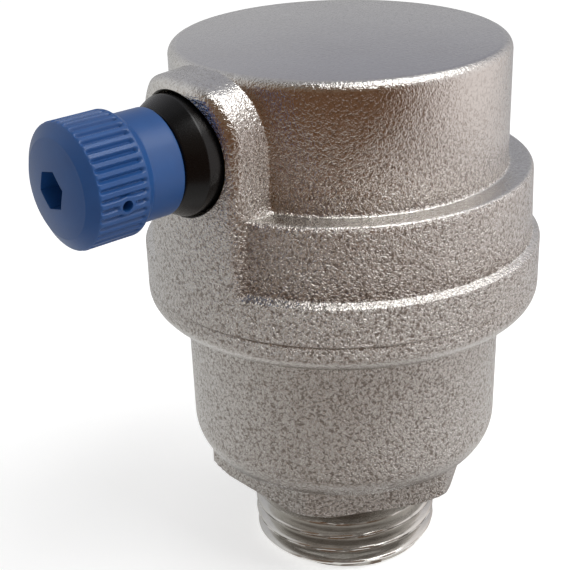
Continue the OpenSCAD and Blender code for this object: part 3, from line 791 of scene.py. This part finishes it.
# %% Depth of the grain
crown_grain = 0.32
top_grain = 0.3
ledge_grain = 0.42
top_edge_z, top_face_z = top_z - 0.15, top_z - 0.02
ledge_tilt, ledge_flat = 0.7, 0.82
wall_tilt, under_tilt = -0.08, -0.4


def grain_depth(tree, place, normal):
    """Node that is 1 where the dents are deepest and smaller where the real plate is smoother."""
    level = add(tree, "ShaderNodeSeparateXYZ", {"Vector": place}).outputs["Z"]
    tilt = add(tree, "ShaderNodeSeparateXYZ", {"Vector": normal}).outputs["Z"]
    by_level = add(tree, "ShaderNodeMapRange", {
        "Value": level, "From Min": mid_z * MM, "From Max": roof_z * MM,
        "To Min": 1.0, "To Max": crown_grain})
    by_top = add(tree, "ShaderNodeMapRange", {
        "Value": level, "From Min": top_edge_z * MM, "From Max": top_face_z * MM,
        "To Min": 1.0, "To Max": top_grain})
    by_ledge = add(tree, "ShaderNodeMapRange", {
        "Value": tilt, "From Min": ledge_tilt, "From Max": ledge_flat,
        "To Min": 1.0, "To Max": ledge_grain})
    on_crown = add(tree, "ShaderNodeMath", {0: level, 1: arch_z * MM}, operation="GREATER_THAN")
    by_ledge = add(tree, "ShaderNodeMath", {
        0: by_ledge.outputs[0], 1: on_crown.outputs[0]}, operation="MAXIMUM")
    by_underside = add(tree, "ShaderNodeMapRange", {
        "Value": tilt, "From Min": under_tilt, "From Max": wall_tilt,
        "To Min": top_grain, "To Max": 1.0})
    depth = by_level
    for part in (by_top, by_ledge, by_underside):
        depth = add(tree, "ShaderNodeMath", {
            0: depth.outputs[0], 1: part.outputs[0]}, operation="MULTIPLY")
    return depth


print("grain: crown", crown_grain, "top", top_grain, "ledges", ledge_grain, "of the depth on the walls")

# %% Blasted nickel plate
dent_mm = 0.3
grit_mm = 0.1
patch_mm = 6.0
dent_depth_mm = 0.42
grit_share = 0.25


def blasted_nickel():
    """Bright metal whose dents mirror light and dark: the eye sees a fine silver orange peel."""
    material, tree, shader = finish("nickel_plate_blasted", Metallic=1.0)
    where = add(tree, "ShaderNodeTexCoord").outputs
    place = where["Object"]
    dents = add(tree, "ShaderNodeTexNoise", {
        "Vector": place, "Scale": per_mm(dent_mm), "Detail": 2.0, "Roughness": 0.5, "Distortion": 0.8})
    grit = add(tree, "ShaderNodeTexNoise", {"Vector": place, "Scale": per_mm(grit_mm), "Detail": 1.0})
    patches = add(tree, "ShaderNodeTexNoise", {"Vector": place, "Scale": per_mm(patch_mm), "Detail": 3.0})
    height = add(tree, "ShaderNodeMath", {
        0: grit.outputs["Fac"], 1: grit_share, 2: dents.outputs["Fac"]}, operation="MULTIPLY_ADD")
    depth = grain_depth(tree, place, where["Normal"])
    bump = add(tree, "ShaderNodeBump", {
        "Height": height.outputs[0], "Strength": depth.outputs[0], "Distance": dent_depth_mm * MM})
    clean = add(tree, "ShaderNodeMix", {
        0: patches.outputs["Fac"], 6: linear("#D6D3CF"), 7: linear("#E0DEDB")}, data_type="RGBA")
    # Painted shade in the pits: the low parts of the dents are darkened, most where the grain is deepest.
    pit_shade = add(tree, "ShaderNodeMapRange", {
        "Value": dents.outputs["Fac"], "From Min": 0.36, "From Max": 0.5, "To Min": 1.0, "To Max": 0.0})
    pit_shade = add(tree, "ShaderNodeMath", {
        0: pit_shade.outputs[0], 1: depth.outputs[0]}, operation="MULTIPLY")
    tint = add(tree, "ShaderNodeMix", {
        0: pit_shade.outputs[0], 6: clean.outputs[2], 7: linear("#A39A92")}, data_type="RGBA")
    gloss = add(tree, "ShaderNodeMapRange", {
        "Value": dents.outputs["Fac"], "From Min": 0.3, "From Max": 0.7, "To Min": 0.18, "To Max": 0.08})
    cover_with(tree, shader, tint, gloss, bump)
    return material


finishes = {"nickel_brass": blasted_nickel()}
print("blasted plate: dents", dent_mm, "mm wide, grit", grit_mm, "mm")

# %% [markdown]
# ### Machined nickel plate
# Thread and recess are cut on a lathe before plating. The tool leaves fine rings, too fine for the picture,
# so they are drawn a little coarser. The plate over them is smooth and mirrors its surroundings. The
# relief groove above the thread is painted darker, as painted shade. A darker light there would do in one
# picture only, so the shade is a dark colour of the plate itself, between two heights.

# %% Machined nickel plate
tool_mark_mm = 0.12
tool_mark_depth_mm = 0.01
stain_mm = 1.5


def machined_nickel():
    """Bright plate with fine rings: the eye sees sharp streaks of light along thread and recess."""
    material, tree, shader = finish("nickel_plate_machined", Metallic=1.0)
    place = add(tree, "ShaderNodeTexCoord").outputs["Object"]
    marks = add(tree, "ShaderNodeTexWave", {
        "Vector": place, "Scale": per_mm(tool_mark_mm) / WAVE_SPREAD, "Distortion": 1.0, "Detail": 1.0},
        bands_direction="Z")
    stain = add(tree, "ShaderNodeTexNoise", {"Vector": place, "Scale": per_mm(stain_mm), "Detail": 3.0})
    bump = add(tree, "ShaderNodeBump", {
        "Height": marks.outputs["Fac"], "Strength": 0.25, "Distance": tool_mark_depth_mm * MM})
    clean = add(tree, "ShaderNodeMix", {
        0: stain.outputs["Fac"], 6: linear("#C6C4BF"), 7: linear("#D8D6D2")}, data_type="RGBA")
    # Painted shade: the plate is dark between two heights, where shade falls in the relief groove above the
    # thread.
    level = add(tree, "ShaderNodeSeparateXYZ", {"Vector": place}).outputs["Z"]
    above_thread = add(tree, "ShaderNodeMath", {0: level, 1: relief_z * MM}, operation="GREATER_THAN")
    below_hex = add(tree, "ShaderNodeMath", {0: level, 1: hex_z * MM}, operation="LESS_THAN")
    relief_groove_shade = add(tree, "ShaderNodeMath", {
        0: above_thread.outputs[0], 1: below_hex.outputs[0]}, operation="MULTIPLY")
    tint = add(tree, "ShaderNodeMix", {
        0: relief_groove_shade.outputs[0], 6: clean.outputs[2], 7: linear("#2C2927")}, data_type="RGBA")
    gloss = add(tree, "ShaderNodeMapRange", {"Value": stain.outputs["Fac"], "To Min": 0.14, "To Max": 0.26})
    cover_with(tree, shader, tint, gloss, bump)
    return material


nickel_machined = machined_nickel()
print("machined plate: tool marks", tool_mark_mm, "mm apart, drawn twice as coarse")

# %% [markdown]
# ### Plastics and rubber
# These are dielectrics: the colour lies inside, and the gloss on top depends on the mould. One flat colour
# would do from afar. A fine moulded texture softens the gloss, and slow changes of tone keep large faces
# from looking painted.

# %% Plastics and rubber
tone_mm = 3.0
mould_gloss_change = 0.06


def moulded(name, dark, light, roughness, texture_mm, depth_mm, ior=1.5):
    """Moulded plastic or rubber: tone between two colours, and a fine mould texture."""
    material, tree, shader = finish(name, IOR=ior)
    place = add(tree, "ShaderNodeTexCoord").outputs["Object"]
    texture = add(tree, "ShaderNodeTexNoise", {"Vector": place, "Scale": per_mm(texture_mm), "Detail": 2.0})
    tone = add(tree, "ShaderNodeTexNoise", {"Vector": place, "Scale": per_mm(tone_mm), "Detail": 2.0})
    bump = add(tree, "ShaderNodeBump", {
        "Height": texture.outputs["Fac"], "Strength": 1.0, "Distance": depth_mm * MM})
    tint = add(tree, "ShaderNodeMix", {
        0: tone.outputs["Fac"], 6: linear(dark), 7: linear(light)}, data_type="RGBA")
    gloss = add(tree, "ShaderNodeMapRange", {
        "Value": texture.outputs["Fac"],
        "To Min": roughness - mould_gloss_change, "To Max": roughness + mould_gloss_change})
    cover_with(tree, shader, tint, gloss, bump)
    return material


plastics = {
    # EPDM rings from a blasted mould: a dull, nearly even black
    "seal_rubber": moulded("rubber_seal_moulded", "#121213", "#1D1D1E", 0.55, 0.1, 0.006),
    # rubber from a polished mould: deep black with a soft line of light on each edge
    "collar_black": moulded("rubber_collar_moulded", "#050506", "#0A0A0B", 0.26, 0.12, 0.002, 1.4),
    # acetal, uncoloured: a waxy off-white
    "lever_plastic": moulded("acetal_moulded", "#DAD7CC", "#E6E4DA", 0.4, 0.12, 0.004, 1.48),
    # polypropylene, uncoloured: a duller and yellower white
    "float_plastic": moulded("polypropylene_moulded", "#D2CFC0", "#DEDBCE", 0.45, 0.2, 0.006, 1.49),
    # nylon coloured in the mass: a satin blue with wide, soft highlights
    "cap_blue": moulded("nylon_blue_moulded", "#1C4A85", "#245898", 0.36, 0.14, 0.006, 1.53),
}
finishes.update(plastics)
print("moulded:", ", ".join(material.name for material in plastics.values()))

# %% [markdown]
# ### Bare metals inside
# Brass and stainless parts inside are turned, stamped or drawn, and stay bare. They show only when the
# valve is opened in another scene, and a plain grey would do here, but they are finished as carefully:
# one function draws the marks of each way of working at their own spacing and direction.

# %% Bare metals
metal_stain_mm = 2.0
metal_gloss_change = 0.08


def worked_metal(name, dark, light, roughness, mark_mm, mark_depth_mm, direction):
    """Bare metal with tool, rolling or drawing marks at a real spacing along one direction."""
    material, tree, shader = finish(name, Metallic=1.0)
    place = add(tree, "ShaderNodeTexCoord").outputs["Object"]
    marks = add(tree, "ShaderNodeTexWave", {
        "Vector": place, "Scale": per_mm(mark_mm) / WAVE_SPREAD, "Distortion": 2.0, "Detail": 2.0},
        bands_direction=direction)
    stain = add(tree, "ShaderNodeTexNoise", {
        "Vector": place, "Scale": per_mm(metal_stain_mm), "Detail": 3.0})
    bump = add(tree, "ShaderNodeBump", {
        "Height": marks.outputs["Fac"], "Strength": 0.5, "Distance": mark_depth_mm * MM})
    tint = add(tree, "ShaderNodeMix", {
        0: stain.outputs["Fac"], 6: linear(dark), 7: linear(light)}, data_type="RGBA")
    gloss = add(tree, "ShaderNodeMapRange", {
        "Value": stain.outputs["Fac"],
        "To Min": roughness - metal_gloss_change, "To Max": roughness + metal_gloss_change})
    cover_with(tree, shader, tint, gloss, bump)
    return material


metals = {
    # brass from the lathe: warm yellow with rings round the vent axis
    "turned_brass": worked_metal("brass_turned", "#B08D4A", "#C9A860", 0.3, 0.12, 0.01, "Y"),
    # stainless sheet, rolled and stamped: neutral grey with faint straight lines
    "stainless": worked_metal("stainless_steel_stamped", "#A9A9AB", "#BDBDBF", 0.34, 0.2, 0.006, "X"),
    # spring wire, drawn through a die: darker grey with very fine lines
    "spring_steel": worked_metal("spring_steel_drawn", "#7E7E82", "#949498", 0.3, 0.1, 0.004, "X"),
}
finishes.update(metals)
print("bare metals:", ", ".join(material.name for material in metals.values()))

# %% [markdown]
# ## Dress the pieces
# New skins are parented to an empty for the body of the CAD node that they stand for, and that node is
# hidden. The CAD nodes that stay visible get the finish of their own slot.

# %% Dress the pieces


def dress(piece, body, slot, material, *stands_for):
    """Gives a skin its finish and body, and hides the CAD nodes that it stands for. The slot is not used."""
    piece.data.materials.clear()
    piece.data.materials.append(material)
    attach(piece, body)
    if stands_for:
        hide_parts(*stands_for)


dress(body_forging, "valve_body", "nickel_brass", finishes["nickel_brass"], "lower_body")
dress(inlet_thread, "valve_body", "nickel_brass", nickel_machined)
dress(cover_forging, "valve_body", "nickel_brass", finishes["nickel_brass"], "cover")
dress(vent_recess, "valve_body", "nickel_brass", nickel_machined)
dress(nozzle_turning, "valve_body", "turned_brass", finishes["turned_brass"], "vent_nozzle")
dress(collar_moulding, "valve_body", "collar_black", finishes["collar_black"], "collar_ring")
dress(cap_moulding, "cap", "cap_blue", finishes["cap_blue"], "vent_cap")

slots = {part["node"]: part["material_slot"] for part in frame["record"]["subparts"]}
for name, node in frame["nodes"].items():
    node.data.materials.clear()
    node.data.materials.append(finishes[slots[name]])

# %% [markdown]
# ## Floor and white world
# The picture shows the valve on white. More light would whiten the floor, but would also wash out the
# valve, so the floor is pale paper with a little glow that only the camera and mirrors see. The shadow of
# the valve stays on it. Away from the valve the glow grows, so that floor and world meet without a line.

# %% Floor
floor_half = 1.5
glow_near, glow_far = 0.52, 0.66
near_away, far_away = 0.15, 0.6


def looked_at(tree):
    """Socket that is 1 for what the camera, a mirror or a clear piece shows, and 0 for other light."""
    path = add(tree, "ShaderNodeLightPath").outputs
    seen = path["Is Camera Ray"]
    for ray in ("Is Glossy Ray", "Is Transmission Ray"):
        seen = add(tree, "ShaderNodeMath", {0: seen, 1: path[ray]}, operation="MAXIMUM").outputs[0]
    return seen


corners = [(x * floor_half, y * floor_half, 0) for x, y in ((-1, -1), (1, -1), (1, 1), (-1, 1))]
floor_mesh = bpy.data.meshes.new("floor")
floor_mesh.from_pydata(corners, [], [(0, 1, 2, 3)])
floor = bpy.data.objects.new("floor", floor_mesh)
scene.collection.objects.link(floor)

floor_finish, tree, shader = finish(
    "paper_white", Base_Color=linear("#F2F2F2"), Roughness=0.9, Emission_Color=linear("#FFFFFF"))
place = add(tree, "ShaderNodeTexCoord").outputs["Object"]
away = add(tree, "ShaderNodeVectorMath", {0: place}, operation="LENGTH")
glow = add(tree, "ShaderNodeMapRange", {
    "Value": away.outputs["Value"], "From Min": near_away, "From Max": far_away,
    "To Min": glow_near, "To Max": glow_far})
glow = add(tree, "ShaderNodeMath", {0: looked_at(tree), 1: glow.outputs[0]}, operation="MULTIPLY")
tree.links.new(glow.outputs[0], shader.inputs["Emission Strength"])
floor_mesh.materials.append(floor_finish)
print("floor:", 2 * floor_half, "m wide")

# %% World
diffuse_level = 0.38

world = bpy.data.worlds.new("white_room")
world.use_nodes = True
scene.world = world
tree = world.node_tree
backdrop = tree.nodes["Background"]
backdrop.inputs["Color"].default_value = linear("#FFFFFF")
level = add(tree, "ShaderNodeMapRange", {
    "Value": looked_at(tree), "To Min": diffuse_level, "To Max": 1.0})
tree.links.new(level.outputs[0], backdrop.inputs["Strength"])
print("world: white, and", diffuse_level, "as light")

# %% [markdown]
# ## Surroundings
# A metal shows what stands round it, and in an all-white room it would look flat. The picture tells what
# stood there: a brown table in front with a sheet of paper under the valve, a pale wall on the left, a
# window on the right and a grey wall behind. Real furniture would do, but then the camera sees it too.
# So one bowl round the set has these tones at its points, and only reflections see it.

# %% Tones of the surroundings
LOW, HIGH, OVERHEAD = range(3)
back_wall = ("#BABABC", "#A0A1AA", "#B4B4B8")
left_wall = ("#DADAD8", "#E8E8E8", "#9A9A9C")
dark_table = ("#6A4D38", "#7C6A5A", "#66625E")
right_window = ("#F2E9E6", "#FAF5F4", "#FFFFFF")
surroundings = (
    (-180, back_wall),
    (-92, left_wall),
    (-52, dark_table),
    (49, dark_table),
    (65, right_window),
    (120, right_window),
    (148, back_wall),
    (180, back_wall),
)
directions = [azimuth for azimuth, tones in surroundings]
print("surroundings:", len(surroundings), "directions, measured from the camera")

# %% Rows of the bowl
paper_shade = np.array(linear("#D0D0CF"))
under_shade = np.array(linear("#DBDAD8"))
# The darkest tone is painted shadow: the paper right round the foot, in the valve's own shadow, as the plate
# mirrors it.
foot_shadow = np.array(linear("#6A6865"))
paper_rows = (
    (12, foot_shadow, 0.85),
    (17, foot_shadow, 0.75),
    (23, under_shade, 0.8),
    (55, paper_shade, 0.75),
    (66, paper_shade, 0.7),
)
open_rows = (
    (80, 1, LOW),
    (300, 1, LOW),
    (300, 110, LOW),
    (300, 140, HIGH),
    (300, 300, HIGH),
    (300, 600, OVERHEAD),
    (2, 600, OVERHEAD),
)
panel_rows = [(radius, 1, LOW, shade, share) for radius, shade, share in paper_rows]
panel_rows += [(radius, height, level, paper_shade, 0.0) for radius, height, level in open_rows]
print("bowl:", len(panel_rows), "rows,", len(paper_rows), "of them on the paper")

# %% Bowl of tones
azimuth_step = 5
azimuths = np.arange(-180, 180, azimuth_step)

points, colours = [], []
for radius, height, level, shade, share in panel_rows:
    tones = np.array([linear(tones[level]) for azimuth, tones in surroundings])
    for azimuth in azimuths:
        turn = camera_azimuth + math.radians(azimuth)
        points.append((radius * MM * math.sin(turn), -radius * MM * math.cos(turn), height * MM))
        tone = np.array([np.interp(azimuth, directions, tones[:, k]) for k in range(4)])
        colours.append(tone * (1 - share) + shade * share)
around = len(azimuths)
faces = []
for row in range(len(panel_rows) - 1):
    low, high = row * around, (row + 1) * around
    for i in range(around):
        ahead = (i + 1) % around
        faces.append((low + i, low + ahead, high + ahead, high + i))
panel_mesh = bpy.data.meshes.new("reflection_panels")
panel_mesh.from_pydata(points, [], faces)
tones = panel_mesh.color_attributes.new("tone", "FLOAT_COLOR", "POINT")
tones.data.foreach_set("color", np.array(colours, np.float32).ravel())
panels = bpy.data.objects.new("reflection_panels", panel_mesh)
scene.collection.objects.link(panels)
panels.visible_camera = False
panels.visible_diffuse = False
panels.visible_shadow = False

panel_finish, tree, shader = finish("panel_tones")
tone = add(tree, "ShaderNodeAttribute", attribute_name="tone")
glow = add(tree, "ShaderNodeEmission", {"Color": tone.outputs["Color"], "Strength": 1.0})
tree.links.new(glow.outputs[0], tree.nodes["Material Output"].inputs["Surface"])
panel_mesh.materials.append(panel_finish)
print("panels:", len(faces), "faces")

# %% [markdown]
# ## Soft boxes
# Two soft boxes give the highlights and the soft shadow: one high on the right, one low at the window. A
# sun lamp would give hard lines on the plate. An area light is as soft as it is large, and its energy is
# worked out from the brightness that its face shows.

# %% Soft boxes
aim_z = 35


def soft_box(name, azimuth, elevation, distance, width, height, radiance, mirrored):
    """An area light aimed at the valve, with the brightness that its face shows."""
    lamp = bpy.data.lights.new(name, "AREA")
    lamp.shape = "RECTANGLE"
    lamp.size = width
    lamp.size_y = height
    lamp.energy = radiance * math.pi * width * height
    lamp.specular_factor = mirrored
    box = bpy.data.objects.new(name, lamp)
    scene.collection.objects.link(box)
    turn = camera_azimuth + math.radians(azimuth)
    lift = math.radians(elevation)
    aim = (
        Matrix.Translation((0, 0, aim_z * MM))
        @ Matrix.Rotation(turn, 4, "Z")
        @ Matrix.Rotation(-lift, 4, "X")
    )
    box.matrix_world = aim @ Matrix.Translation((0, -distance, 0)) @ Matrix.Rotation(math.pi / 2, 4, "X")
    print(f"{name}: {lamp.energy:.2f} W at {azimuth} degrees from the camera, {elevation} up")


soft_box("top_box", 58, 62, 0.4, 0.26, 0.2, 4.0, 0.6)
soft_box("right_box", 92, 26, 0.4, 0.2, 0.2, 3.0, 1.0)

# %% [markdown]
# The Standard view shows a colour as it is written. The skins may not change the size of the part.

scene.view_settings.view_transform = "Standard"
